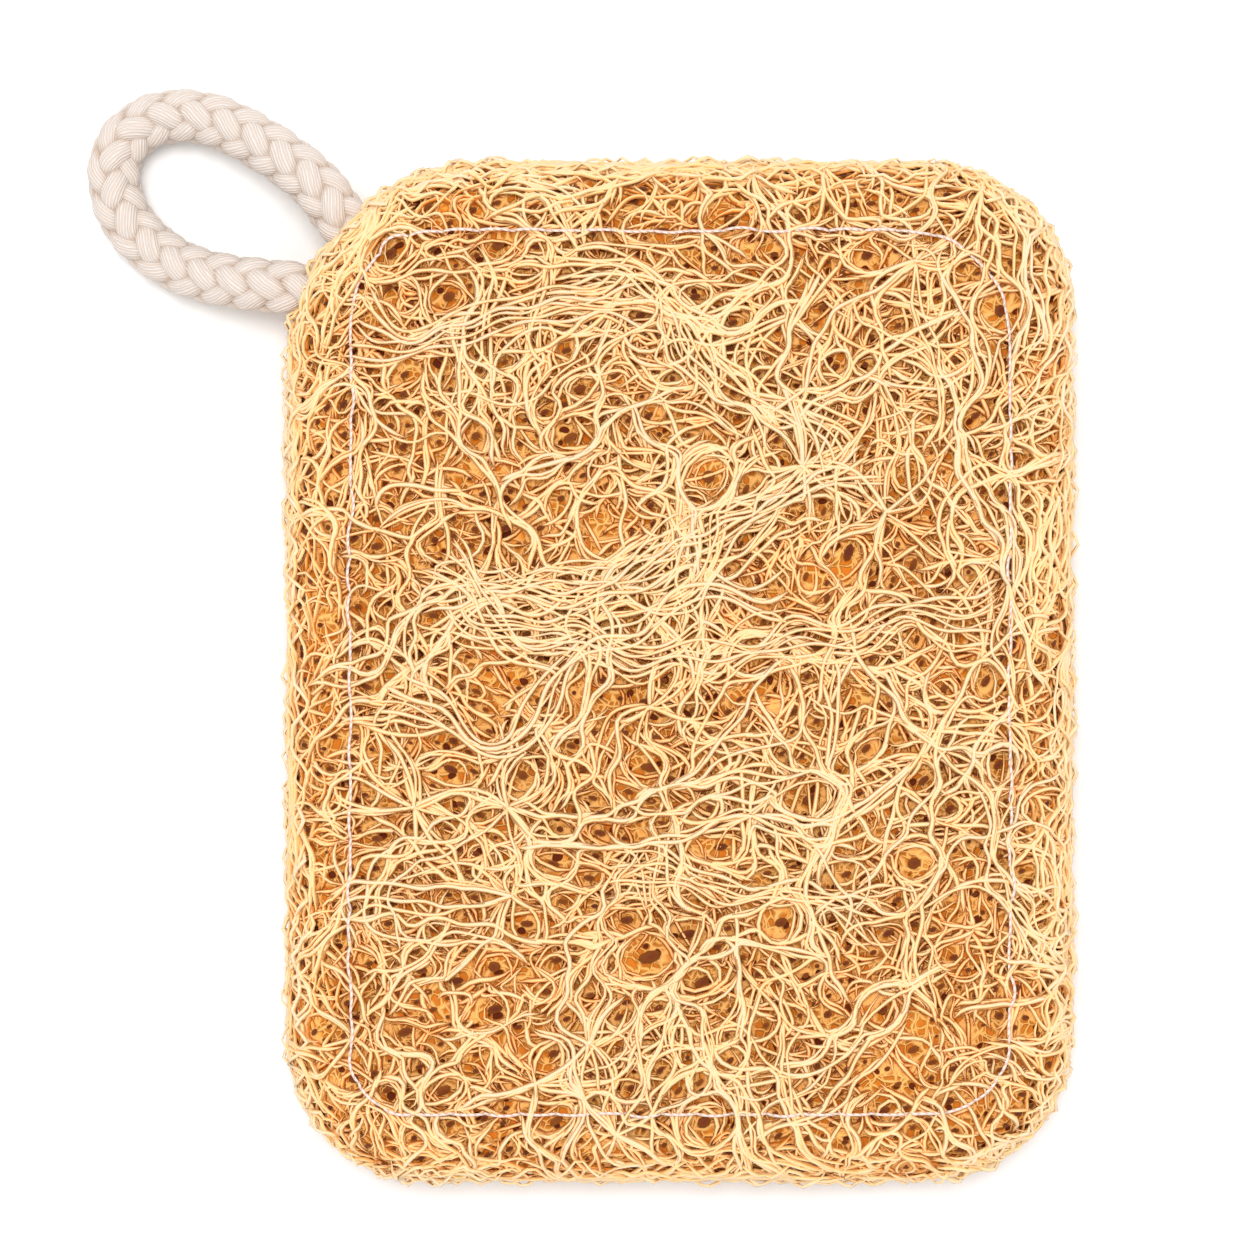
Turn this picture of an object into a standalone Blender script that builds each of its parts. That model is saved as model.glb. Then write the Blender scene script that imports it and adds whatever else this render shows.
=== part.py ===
"""A natural loofah sponge pad with a lockstitched seam and a braided cotton hanging loop.

Metres, +Z up. The pad lies on its back face with the origin under its middle. +Y runs up the pad
towards the end that the loop leaves, and +Z points out of the front face.
"""

import math

import bmesh
import bpy
import numpy as np
from mathutils import geometry

# Pad
PAD_WIDTH = 0.100
PAD_LENGTH = 0.130
PAD_THICKNESS = 0.020
CORNER_RADII = {(-1, 1): 0.0255, (1, 1): 0.0185, (-1, -1): 0.0180, (1, -1): 0.0185}
ROLL_WIDTH = 0.010  # how far in from the outline the rounded edge begins
ROLL_POWER = 2.2  # 2 gives an ellipse, and more is squarer

# Net of fibres that stands out of the pad
HOLE_SPACING = 0.0053  # least distance between the middles of two holes, across the grain
GRAIN_STRETCH = 1.35  # how much longer the holes are along the grain
GRAIN_ANGLE = math.radians(24)
GRAIN_SWING = math.radians(48)
GRAIN_WAVE = 0.047  # length over which the grain swings once
RIM_HOLE_SPACING = 0.0062
RIM_MARGIN = 0.7 * HOLE_SPACING  # least distance of a scattered hole from the rim's middle line
HOLE_DEPTH = (0.0016, 0.0030)
RIM_HOLE_DEPTH = (0.0010, 0.0017)
RIM_BAND = 0.36  # part of the thickness, either side of its middle, where the holes are shallow
FIBRE_SHARE = 0.34  # part of a hole's radius that the fibres round it take up
FIBRE_DROP = (0.0002, 0.0010)  # how far ordinary fibres lie under the outermost ones
STRANDS_A_SIDE = 26
STRAND_STEPS = 11
STRAND_TURNING = 0.4  # how readily a strand takes the direction of its last step
STRAND_LEAST_COSINE = 0.1  # of the angle between a strand's heading and its next step
SCATTER_TRIES = 9000
SEED = 41

# Seam
SEAM_HALF = (0.0418, 0.0558)
SEAM_RADII = {(-1, 1): 0.0100, (1, 1): 0.0140, (-1, -1): 0.0075, (1, -1): 0.0100}
STITCHES = 84
STITCH_ROW_OFFSET = 0.0030  # from the seam to the middles of the holes beside it
GROOVE_DEPTH = 0.0016
GROOVE_REACH = 0.0060
THREAD_DIAMETER = 0.0005
THREAD_BEVEL_RESOLUTION = 0
STITCH_RISE = 0.0003  # how much higher a stitch's middle lies than its ends
CLEARANCE = 0.0003

# Hanging loop: its route in millimetres, from one hidden end to the other
LOOP_DIAMETER = 0.0068
LOOP_STEP = 0.0030
LOOP_BEVEL_RESOLUTION = 4
SOCKET_CLEARANCE = 0.0004
SOCKET_LENGTH = 0.0180
LOOP_ROUTE_MM = [
    (-35.0, 49.2, 10.0),
    (-38.2, 52.4, 10.0),
    (-41.2, 55.5, 10.0),
    (-43.6, 58.5, 10.0),
    (-45.9, 61.6, 9.6),
    (-48.4, 63.9, 8.8),
    (-52.2, 66.7, 7.4),
    (-56.9, 69.4, 5.8),
    (-60.9, 70.9, 4.7),
    (-65.2, 71.2, 4.0),
    (-69.1, 69.9, 3.75),
    (-71.8, 67.0, 3.7),
    (-72.5, 63.6, 3.7),
    (-71.8, 59.9, 3.75),
    (-69.9, 56.6, 3.9),
    (-67.0, 53.8, 4.2),
    (-63.4, 51.6, 5.0),
    (-59.4, 50.3, 6.3),
    (-55.6, 49.6, 7.9),
    (-52.4, 49.2, 9.2),
    (-49.6, 48.9, 9.9),
    (-46.9, 48.2, 10.0),
    (-44.4, 46.6, 10.0),
    (-42.0, 44.2, 10.0),
    (-39.6, 41.8, 10.0),
]

MM = 0.001


def clear_scene():
    for old in list(bpy.data.objects):
        bpy.data.objects.remove(old, do_unlink=True)


def plain_material(name, hex_colour, roughness):
    """A matt material from an sRGB colour."""
    channels = [int(hex_colour[i : i + 2], 16) / 255 for i in (0, 2, 4)]
    linear = [c / 12.92 if c <= 0.04045 else ((c + 0.055) / 1.055) ** 2.4 for c in channels]
    material = bpy.data.materials.new(name)
    material.use_nodes = True
    shader = material.node_tree.nodes["Principled BSDF"]
    shader.inputs["Base Color"].default_value = (*linear, 1.0)
    shader.inputs["Roughness"].default_value = roughness
    shader.inputs["Metallic"].default_value = 0.0
    return material


def show(name, data, material):
    shown = bpy.data.objects.new(name, data)
    data.materials.append(material)
    bpy.context.scene.collection.objects.link(shown)
    return shown


def from_rounded_rectangle(points, half, radii):
    """Distance outside a rounded rectangle (negative inside) and the direction straight out of it."""
    sign = np.where(points < 0, -1, 1)
    radius = np.array([radii[(int(sx), int(sy))] for sx, sy in sign])[:, None]
    over = np.abs(points) - (np.array(half) - radius)
    beyond = np.maximum(over, 0.0)
    length = np.linalg.norm(beyond, axis=1)
    distance = length + np.minimum(over.max(axis=1), 0.0) - radius[:, 0]
    nearest_side = np.where((over[:, 0] > over[:, 1])[:, None], (1.0, 0.0), (0.0, 1.0))
    in_corner = length[:, None] > 1e-9
    outward = np.where(in_corner, beyond / np.maximum(length, 1e-9)[:, None], nearest_side)
    return distance, outward * sign


def round_outline(half, radii, count, offset=0.0):
    """Points evenly spaced round a rounded rectangle, anticlockwise, the first one offset spacings on."""
    corners = [((1, 1), 0.0), ((-1, 1), 90.0), ((-1, -1), 180.0), ((1, -1), 270.0)]
    path = []
    for corner, first_angle in corners:
        centre = np.array(corner) * (np.array(half) - radii[corner])
        for turn in np.radians(np.linspace(first_angle, first_angle + 90.0, 25)):
            path.append(centre + radii[corner] * np.array([math.cos(turn), math.sin(turn)]))
    path = np.array(path + path[:1])
    along = np.concatenate([[0.0], np.cumsum(np.linalg.norm(np.diff(path, axis=0), axis=1))])
    wanted = (np.arange(count) + offset) / count * along[-1]
    return np.stack([np.interp(wanted, along, path[:, k]) for k in range(2)], axis=1)


def roll_profile():
    """The rounded edge, a superellipse: length along it, distance outward and height, from face to rim."""
    turn = np.linspace(0.0, math.pi / 2, 400)
    out = ROLL_WIDTH * np.sin(turn) ** (2 / ROLL_POWER)
    up = PAD_THICKNESS / 2 * np.cos(turn) ** (2 / ROLL_POWER)
    lengths = np.concatenate([[0.0], np.cumsum(np.hypot(np.diff(out), np.diff(up)))])
    return lengths, out, up


ROLL_LENGTHS, ROLL_OUT, ROLL_UP = roll_profile()
ROLL_LENGTH = ROLL_LENGTHS[-1]
UNROLLED = ROLL_LENGTH - ROLL_WIDTH  # how much further out a face's edge is when it is rolled out flat
FLAT_HALF = (PAD_WIDTH / 2 + UNROLLED, PAD_LENGTH / 2 + UNROLLED)
FLAT_RADII = {corner: radius + UNROLLED for corner, radius in CORNER_RADII.items()}


def on_pad(flat, side, lift):
    """Rolls points of a flat layout onto the pad's front (side 1) or back (side -1), lift above it."""
    distance, outward = from_rounded_rectangle(flat, FLAT_HALF, FLAT_RADII)
    down = np.clip(ROLL_LENGTH + distance, 0.0, ROLL_LENGTH)
    out = np.interp(down, ROLL_LENGTHS, ROLL_OUT)
    up = np.interp(down, ROLL_LENGTHS, ROLL_UP)
    ahead = np.minimum(down + ROLL_LENGTH / 200, ROLL_LENGTH)
    behind = np.maximum(down - ROLL_LENGTH / 200, 0.0)
    run = np.interp(ahead, ROLL_LENGTHS, ROLL_OUT) - np.interp(behind, ROLL_LENGTHS, ROLL_OUT)
    fall = np.interp(behind, ROLL_LENGTHS, ROLL_UP) - np.interp(ahead, ROLL_LENGTHS, ROLL_UP)
    slope = np.hypot(run, fall)
    plan = flat + outward * (out - down + fall / slope * lift)[:, None]
    from_seam = from_rounded_rectangle(plan, SEAM_HALF, SEAM_RADII)[0]
    groove = GROOVE_DEPTH * np.clip(1.0 - (from_seam / GROOVE_REACH) ** 2, 0.0, 1.0) ** 2
    height = PAD_THICKNESS / 2 + side * (up - groove + run / slope * lift)
    return np.column_stack([plan, height])


def grain(points):
    """Direction in which the fibres mainly run, swinging slowly over the pad."""
    x, y = points[..., 0] / GRAIN_WAVE, points[..., 1] / GRAIN_WAVE
    swing = np.sin(2.1 * x + 1.3 * np.sin(1.7 * y)) * np.cos(1.9 * y - 0.8 * x)
    angle = GRAIN_ANGLE + GRAIN_SWING * swing
    return np.stack([np.cos(angle), np.sin(angle)], axis=-1)


def scatter_holes(fixed, random):
    """Middles of a face's holes: random places, each kept its distance from the fixed ones and the rest."""
    placed = list(fixed)
    for _ in range(SCATTER_TRIES):
        point = random.uniform(-1.0, 1.0, 2) * FLAT_HALF
        inside = -from_rounded_rectangle(point[None], FLAT_HALF, FLAT_RADII)[0][0]
        if inside < RIM_MARGIN:
            continue
        apart = np.array(placed) - point
        direction = grain(point)
        along = apart @ direction
        across = apart @ np.array([-direction[1], direction[0]])
        if np.hypot(along / GRAIN_STRETCH, across).min() >= HOLE_SPACING:
            placed.append(point)
    return np.array(placed)


def shared_holes():
    """Middles of the holes that both faces start from: the rim's, the seam's two rows, the middle one."""
    straight = 2 * (PAD_WIDTH + PAD_LENGTH)
    rim_length = straight - (2 - math.pi / 2) * sum(CORNER_RADII.values())
    rim = round_outline(FLAT_HALF, FLAT_RADII, round(rim_length / RIM_HOLE_SPACING))
    rows = []
    for row_offset, start in ((STITCH_ROW_OFFSET, 0.0), (-STITCH_ROW_OFFSET, 0.5)):
        row = round_outline(SEAM_HALF, SEAM_RADII, STITCHES // 2, start)
        outward = from_rounded_rectangle(row, SEAM_HALF, SEAM_RADII)[1]
        rows.append(row + outward * row_offset)
    return rim, rows[0], rows[1], np.zeros((1, 2))


def join_holes(holes, rim_count):
    """Delaunay triangles between the holes' middles, and each triangle's neighbours."""
    ring = [(i, (i + 1) % rim_count) for i in range(rim_count)]
    found = geometry.delaunay_2d_cdt([tuple(hole) for hole in holes], ring, [], 1, 1e-7)
    corners = np.array([tuple(triangle) for triangle in found[2]])
    sides = {}
    for number, (a, b, c) in enumerate(corners):
        for pair in ((a, b), (b, c), (c, a)):
            sides.setdefault(frozenset(pair), []).append(number)
    neighbours = [[] for _ in corners]
    for pair in sides.values():
        if len(pair) == 2:
            neighbours[pair[0]].append(pair[1])
            neighbours[pair[1]].append(pair[0])
    return corners, neighbours


def walk_strand(start, flat, closed_to, neighbours, random):
    """Crossings of fibres that one long strand passes, along the grain from start."""
    path = [start]
    heading = grain(flat[start]) * random.choice((-1, 1))
    for _ in range(STRAND_STEPS):
        ahead = [n for n in neighbours[path[-1]] if n not in path and not closed_to[n]]
        if not ahead:
            break
        ways = flat[ahead] - flat[path[-1]]
        ways /= np.linalg.norm(ways, axis=1)[:, None]
        best = int((ways @ heading).argmax())
        if ways[best] @ heading < STRAND_LEAST_COSINE:
            break
        path.append(ahead[best])
        heading = (1 - STRAND_TURNING) * heading + STRAND_TURNING * ways[best]
        heading /= np.linalg.norm(heading)
    return path


def raise_strands(flat, on_seam, neighbours, random):
    """Picks the crossings on long strands, which lie outermost, and straightens each strand a little."""
    flat = flat.copy()
    raised = np.zeros(len(flat), bool)
    from_rim = -from_rounded_rectangle(flat, FLAT_HALF, FLAT_RADII)[0]
    starts = np.flatnonzero(~on_seam & (from_rim > ROLL_WIDTH / 2))
    for start in random.choice(starts, STRANDS_A_SIDE, replace=False):
        path = walk_strand(int(start), flat, on_seam, neighbours, random)
        line = flat[path]
        line[1:-1] = 0.5 * line[1:-1] + 0.25 * (line[:-2] + line[2:])
        flat[path] = line
        raised[path] = True
    return flat, raised


def net_of_side(side, random):
    """One face's net: how many holes, its triangles, their crossings on the pad, and the seam's course."""
    rim, outer_row, inner_row, middle = shared_holes()
    fixed = np.concatenate([rim, outer_row, inner_row, middle])
    holes = scatter_holes(fixed, random)
    corners, neighbours = join_holes(holes, len(rim))
    in_outer_row = (corners >= len(rim)) & (corners < len(rim) + len(outer_row))
    in_inner_row = (corners >= len(rim) + len(outer_row)) & (corners < len(fixed) - 1)
    on_seam = in_outer_row.any(axis=1) & in_inner_row.any(axis=1)
    flat = holes[corners].mean(axis=1)
    from_seam, outward = from_rounded_rectangle(flat, SEAM_HALF, SEAM_RADII)
    flat = np.where(on_seam[:, None], flat - outward * from_seam[:, None], flat)
    flat, raised = raise_strands(flat, on_seam, neighbours, random)
    round_middle = (corners == len(fixed) - 1).any(axis=1)
    drop = random.uniform(*FIBRE_DROP, len(flat))
    lift = np.where(raised | on_seam | round_middle, 0.0, -drop)
    seam_course = flat[on_seam]
    turn = np.arctan2(seam_course[:, 1], seam_course[:, 0])
    return len(holes), corners, on_pad(flat, side, lift), seam_course[np.argsort(turn)]


def dual_mesh(triangles, crossings, hole_total):
    """One polygon for each hole, through the crossings of the triangles round it, in order."""
    layout = bmesh.new()
    corners = [layout.verts.new((0.0, 0.0, float(i))) for i in range(hole_total)]
    for triangle in triangles:
        layout.faces.new([corners[i] for i in triangle])
    layout.faces.index_update()
    net = bmesh.new()
    points = [net.verts.new(p) for p in crossings]
    for corner in corners:
        first = corner.link_loops[0]
        loop = first.link_loop_prev.link_loop_radial_next
        around = [points[first.face.index]]
        while loop is not first:
            around.append(points[loop.face.index])
            loop = loop.link_loop_prev.link_loop_radial_next
        net.faces.new(around)
    layout.free()
    bmesh.ops.recalc_face_normals(net, faces=net.faces)
    return net


def sink_holes(net, flat_hole):
    """Pushes every polygon but one inward and shrinks it, which leaves fibres standing between the holes."""
    random = np.random.default_rng(SEED + 1)
    net.faces.ensure_lookup_table()
    for number, face in enumerate(list(net.faces)):
        if number == flat_hole:
            continue
        middle = face.calc_center_median()
        inward = -face.normal
        at_rim = abs(middle.z - PAD_THICKNESS / 2) < RIM_BAND * PAD_THICKNESS
        depth = random.uniform(*(RIM_HOLE_DEPTH if at_rim else HOLE_DEPTH))
        floor = bmesh.ops.extrude_discrete_faces(net, faces=[face])["faces"][0]
        for vert in floor.verts:
            vert.co = middle + (vert.co - middle) * (1 - FIBRE_SHARE) + inward * depth


def centre_net(net):
    """Moves the net so that its box stands on the origin, and gives the shift."""
    points = np.array([vert.co for vert in net.verts])
    low, high = points.min(axis=0), points.max(axis=0)
    shift = -np.array([(low[0] + high[0]) / 2, (low[1] + high[1]) / 2, low[2]])
    bmesh.ops.translate(net, vec=tuple(shift), verts=net.verts)
    return shift


def make_pad(material):
    """The pad as one closed net, and the seam's course on each side of it."""
    random = np.random.default_rng(SEED)
    rim, outer_row, inner_row, _ = shared_holes()
    front_total, front_corners, front_crossings, front_seam = net_of_side(1, random)
    back_total, back_corners, back_crossings, back_seam = net_of_side(-1, random)
    beyond_rim = front_total - len(rim)
    back_corners = np.where(back_corners < len(rim), back_corners, back_corners + beyond_rim)
    triangles = np.concatenate([front_corners, back_corners[:, ::-1]])
    crossings = np.concatenate([front_crossings, back_crossings])
    net = dual_mesh(triangles, crossings, front_total + back_total - len(rim))
    flat_hole = len(rim) + len(outer_row) + len(inner_row) + beyond_rim
    sink_holes(net, flat_hole)
    shift = centre_net(net)
    mesh = bpy.data.meshes.new("loofah_pad")
    net.to_mesh(mesh)
    net.free()
    return show("loofah_pad", mesh, material), {1: front_seam, -1: back_seam}, shift


def smooth_route(route, step):
    """Points about step apart on a Catmull-Rom curve through the route's points."""
    padded = np.concatenate([[2 * route[0] - route[1]], route, [2 * route[-1] - route[-2]]])
    t = np.linspace(0.0, 1.0, 12, endpoint=False)[None, :, None]
    a, b, c, d = (padded[i : len(padded) - 3 + i, None] for i in range(4))
    bend, twist = 2 * a - 5 * b + 4 * c - d, 3 * b - a - 3 * c + d
    curve = b + ((c - a) * t + bend * t**2 + twist * t**3) / 2
    curve = np.concatenate([curve.reshape(-1, 3), route[-1:]])
    along = np.concatenate([[0.0], np.cumsum(np.linalg.norm(np.diff(curve, axis=0), axis=1))])
    wanted = np.linspace(0.0, along[-1], round(along[-1] / step) + 1)
    return np.stack([np.interp(wanted, along, curve[:, k]) for k in range(3)], axis=1)


def tube(name, points, diameter, resolution, closed=False):
    """A round tube along a polyline."""
    curve = bpy.data.curves.new(name, "CURVE")
    curve.dimensions = "3D"
    curve.bevel_depth = diameter / 2
    curve.bevel_resolution = resolution
    curve.use_fill_caps = not closed
    spline = curve.splines.new("POLY")
    spline.points.add(len(points) - 1)
    for place, point in zip(spline.points, points):
        place.co = (*point, 1.0)
    spline.use_cyclic_u = closed
    return curve


def make_loop(material):
    course = smooth_route(np.array(LOOP_ROUTE_MM) * MM, LOOP_STEP)
    show("hanging_loop", tube("hanging_loop", course, LOOP_DIAMETER, LOOP_BEVEL_RESOLUTION), material)
    return course


def make_socket_cutter(name, course):
    """A closed rod round one hidden end of the loop, a clearance larger, to cut its socket with."""
    end = course[0] + (course[0] - course[1]) * (SOCKET_CLEARANCE / np.linalg.norm(course[0] - course[1]))
    along = np.linalg.norm(course - course[0], axis=1)
    points = np.concatenate([[end], course[1:][along[1:] < SOCKET_LENGTH]])
    rod = tube(name, points, LOOP_DIAMETER + 2 * SOCKET_CLEARANCE, LOOP_BEVEL_RESOLUTION)
    guide = bpy.data.objects.new(name, rod)
    bpy.context.scene.collection.objects.link(guide)
    bpy.context.view_layer.update()
    mesh = bpy.data.meshes.new_from_object(guide.evaluated_get(bpy.context.evaluated_depsgraph_get()))
    bpy.data.objects.remove(guide, do_unlink=True)
    welded = bmesh.new()
    welded.from_mesh(mesh)
    bmesh.ops.remove_doubles(welded, verts=welded.verts, dist=1e-6)
    bmesh.ops.recalc_face_normals(welded, faces=welded.faces)
    welded.to_mesh(mesh)
    welded.free()
    cutter = bpy.data.objects.new(name, mesh)
    cutter.hide_render = True
    cutter.display_type = "WIRE"
    bpy.context.scene.collection.objects.link(cutter)
    return cutter


def cut_sockets(pad, course):
    for name, hidden_end in (("first_socket_cutter", course), ("second_socket_cutter", course[::-1])):
        socket = pad.modifiers.new(name, "BOOLEAN")
        socket.operation = "DIFFERENCE"
        socket.solver = "EXACT"
        socket.object = make_socket_cutter(name, hidden_end)


def make_seam_thread(name, side, seam_course, shift, material):
    """A ring of thread in the seam's groove, whose stitches bow up between their ends."""
    halfway = (seam_course + np.roll(seam_course, -1, axis=0)) / 2
    flat = np.stack([seam_course, halfway], axis=1).reshape(-1, 2)
    above = CLEARANCE + THREAD_DIAMETER / 2
    lift = above + np.tile([0.0, STITCH_RISE], len(seam_course))
    points = on_pad(flat, side, lift) + shift
    show(name, tube(name, points, THREAD_DIAMETER, THREAD_BEVEL_RESOLUTION, closed=True), material)


def main():
    clear_scene()
    loofah = plain_material("loofah_fibre", "E2AF74", 0.75)
    cotton = plain_material("cotton_braid", "F2E5DA", 0.85)
    thread = plain_material("sewing_thread", "F0DFD2", 0.6)
    course = make_loop(cotton)
    pad, seams, shift = make_pad(loofah)
    cut_sockets(pad, course)
    make_seam_thread("needle_thread_front", 1, seams[1], shift, thread)
    make_seam_thread("bobbin_thread_back", -1, seams[-1], shift, thread)


main()
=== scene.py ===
"""Looks of a natural loofah sponge pad: its layers of netted fibre, stitched border and braided cotton loop.

The pad is worked out flat and rolled round its edge. A flat layout holds each face and the whole
rounded edge beside it, as if the edge had been unrolled, so fibres run over the rim as on the real one.
"""

import math
from collections import namedtuple

import bpy
import numpy as np
from bpy.props import FloatProperty, FloatVectorProperty, IntProperty, PointerProperty
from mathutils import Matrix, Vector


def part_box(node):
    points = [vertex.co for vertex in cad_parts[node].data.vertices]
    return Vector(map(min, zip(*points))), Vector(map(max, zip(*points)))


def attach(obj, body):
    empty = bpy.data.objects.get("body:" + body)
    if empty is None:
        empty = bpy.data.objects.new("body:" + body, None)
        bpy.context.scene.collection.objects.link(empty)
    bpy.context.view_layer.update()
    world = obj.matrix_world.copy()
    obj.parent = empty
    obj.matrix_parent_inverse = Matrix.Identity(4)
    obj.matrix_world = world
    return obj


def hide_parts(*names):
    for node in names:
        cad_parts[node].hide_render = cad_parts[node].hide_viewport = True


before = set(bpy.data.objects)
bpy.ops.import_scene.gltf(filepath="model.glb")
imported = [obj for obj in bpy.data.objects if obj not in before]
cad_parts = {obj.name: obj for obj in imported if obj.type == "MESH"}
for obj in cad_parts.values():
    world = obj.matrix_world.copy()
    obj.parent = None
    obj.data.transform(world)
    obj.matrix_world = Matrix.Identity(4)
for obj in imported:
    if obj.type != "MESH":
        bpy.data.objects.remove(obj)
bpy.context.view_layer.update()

bl_info = {
    "name": "Loofah Sponge Pad",
    "version": (1, 0, 0),
    "blender": (4, 5, 0),
    "location": "3D View > Sidebar > Loofah",
    "description": "Dresses a loofah pad with netted fibres, seam threads and a braided hanging loop",
    "category": "Object",
}

PAD_LOW, PAD_HIGH = (np.array(corner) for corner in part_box("loofah_pad"))
MM = 0.001

# Pad form, as in the solid
THICKNESS = PAD_HIGH[2] - PAD_LOW[2]
HALF_SIZE = (PAD_HIGH[:2] - PAD_LOW[:2]) / 2
CORNER_RADII = {(-1, 1): 0.0255, (1, 1): 0.0185, (-1, -1): 0.0180, (1, -1): 0.0185}
ROLL_WIDTH = 0.010
ROLL_POWER = 2.2
SEAM_HALF = np.array([0.0418, 0.0558])
SEAM_RADII = {(-1, 1): 0.0100, (1, 1): 0.0140, (-1, -1): 0.0075, (1, -1): 0.0100}
GROOVE_DEPTH = 0.0010
GROOVE_REACH = 0.0048
GRAIN_ANGLE = math.radians(24)
GRAIN_SWING = math.radians(48)
GRAIN_WAVE = 0.047
OVER_RIM = 0.0025  # how far a face's fibres run on past the middle of the rim
RIM_SHALLOWING = 0.60  # share by which depths are smaller at the rim

# Fibres
FIBRE_SIDES = 3
FIBRE_FLATNESS = 0.72  # height of a fibre's section as a share of its width
FIBRE_SPREAD = (0.72, 1.25)  # widths of single fibres, as shares of the usual width
FIBRE_LEAN = 0.16  # radians by which single fibres lean from their stream
CLUSTER_SPREAD = 0.0010  # how far apart fibres of a cluster start
LEAST_DEPTH = {1: -0.0003, -1: 0.0004}  # on the front, and on the back, which lies on the floor
LEAST_RIM_DEPTH = -0.0009
COLOUR_DEPTH = 0.005  # at which the fibres' colours end
BAND_PITCH = 0.00064  # between the fibres of a band
BAND_STEP = 0.0009  # along a band's fibres
RIM_STEP = 0.0010  # along the rim's loose fibres

# Bands of fibres that cross the front, seen in the photograph: how many fibres, and (x, y) in millimetres
FRONT_BANDS_MM = [
    (6, [(2.7, 15.9), (-10.0, 11.5), (-23.6, 9.7)]),
    (6, [(-31.4, 14.2), (-23.0, 7.0), (-13.3, 1.2)]),
    (8, [(-33.1, 9.1), (-20.0, 11.0), (-8.0, 12.5), (8.0, 19.5), (23.0, 29.5)]),
    (8, [(-29.2, 10.4), (-22.0, 6.0), (-15.2, 2.7), (0.0, 1.2), (10.3, 2.7), (26.0, 6.0), (40.8, 6.6)]),
    (6, [(-10.1, -24.0), (0.0, -25.0), (10.3, -26.6), (19.0, -30.5), (25.5, -32.9)]),
    (7, [(-42.0, 43.5), (-35.0, 41.0), (-29.2, 41.0), (-22.0, 43.0), (-15.2, 44.8), (-3.8, 47.3)]),
    (6, [(-16.0, 52.0), (-6.0, 49.0), (0.1, 43.5), (5.0, 39.0), (10.3, 34.6), (22.0, 27.0)]),
    (5, [(-38.0, -2.0), (-22.6, -8.3), (-13.7, 0.2), (-1.5, 8.3), (14.0, 10.0)]),
]

# Layers of a face's net, from the outermost in: number of fibres, how many start together, steps and length
# of a step, angles to the grain, swirls as (wavelength, strength), the spots they meet, range of depth, how
# far they rise and fall and dive at their ends, and width as a share of the usual one
Layer = namedtuple("Layer", "fibres cluster steps step angles swirls spots depth weave dive width")
LAYERS = {
    "strands": Layer(
        fibres=460, cluster=5, steps=32, step=0.00085, angles=(0.0, 1.1),
        swirls=((0.026, 0.45), (0.011, 0.25)), spots="open", depth=(0.0, 0.0006), weave=0.00015, dive=0.0011,
        width=1.05,
    ),
    "net": Layer(
        fibres=1700, cluster=3, steps=18, step=0.00080, angles=(0.1, 1.2, 2.2),
        swirls=((0.014, 0.5), (0.0065, 0.3)), spots="open", depth=(0.0002, 0.0012), weave=0.00018,
        dive=0.0009, width=1.05,
    ),
    "fine_net": Layer(
        fibres=2900, cluster=2, steps=10, step=0.00072, angles=(0.0, 0.8, 1.6, 2.4),
        swirls=((0.007, 0.8), (0.012, 0.5)), spots="close", depth=(0.0005, 0.0016), weave=0.0002, dive=0.0007,
        width=0.95,
    ),
    "deep_net": Layer(
        fibres=2200, cluster=1, steps=7, step=0.0011, angles=(0.0, 1.0, 2.0), swirls=((0.007, 0.9),),
        spots="close", depth=(0.0010, 0.0019), weave=0.0002, dive=0.0006, width=1.25,
    ),
}
# Openings and knots of a face's nets: their radii, and how far they stay inside the flat outline
SpotGroup = namedtuple("SpotGroup", "number least largest inside knot")
SPOT_GROUPS = {
    "open": [
        SpotGroup(number=75, least=0.0012, largest=0.0026, inside=0.0100, knot=False),
        SpotGroup(number=50, least=0.0012, largest=0.0020, inside=0.0020, knot=True),
        SpotGroup(number=850, least=0.00065, largest=0.00120, inside=0.0010, knot=False),
    ],
    "close": [SpotGroup(number=800, least=0.00060, largest=0.00110, inside=0.0010, knot=False)],
}
INNER_SHARE = 0.7  # of an opening's radius, in the close net beneath the open one
OPENING_REACH = 1.6  # in radii, how far an opening moves fibres out
KNOT_REACH = 2.0
KNOT_PULL = 1.6
SPOT_TRIES = 24  # places drawn for each spot, of which it takes the first that is free
SPOT_SPACING = 1.25  # least distance of two spots' centres, as a share of the sum of their radii
SMALL_BIAS = 1.6  # above 1, small spots are the more common
CHART_CELL = 0.00035  # cell of the chart of nearest spots
CHART_MARGIN = 0.006
CHART_PARTS = 80  # worked out one after another, to save memory
SMOOTHINGS = (1, 1, 1, 2)  # of a path, after each time that it is led round the spots

# Pits at the bottom of the openings, dark as painted shadow: corners of the edge, depths of the middle
# and the underside below the edge, and levels of painted shadow of the edge and of both middles
PIT_SIDES = 8
PIT_BOWL = (0.0005, 0.0008)
PIT_SHADOW_LEVELS = (0.92, 1.0)

# Matted heart: rings and points round each, and its lumps
HEART_GRID = (30, 110)
HEART_LUMP = 0.00025

# Patterns of the materials: sizes of one feature, in metres
FIBRE_BLOTCH = 1 / 160
HEART_CELLS = (1 / 420, 1 / 760)  # between the ribs of the coarse and the fine net
HEART_PIT_PITCH = 1 / 400
HEART_BEND = 0.0016  # how far noise moves the ribs and pits
PAPER_GRIT = 1 / 900

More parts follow.
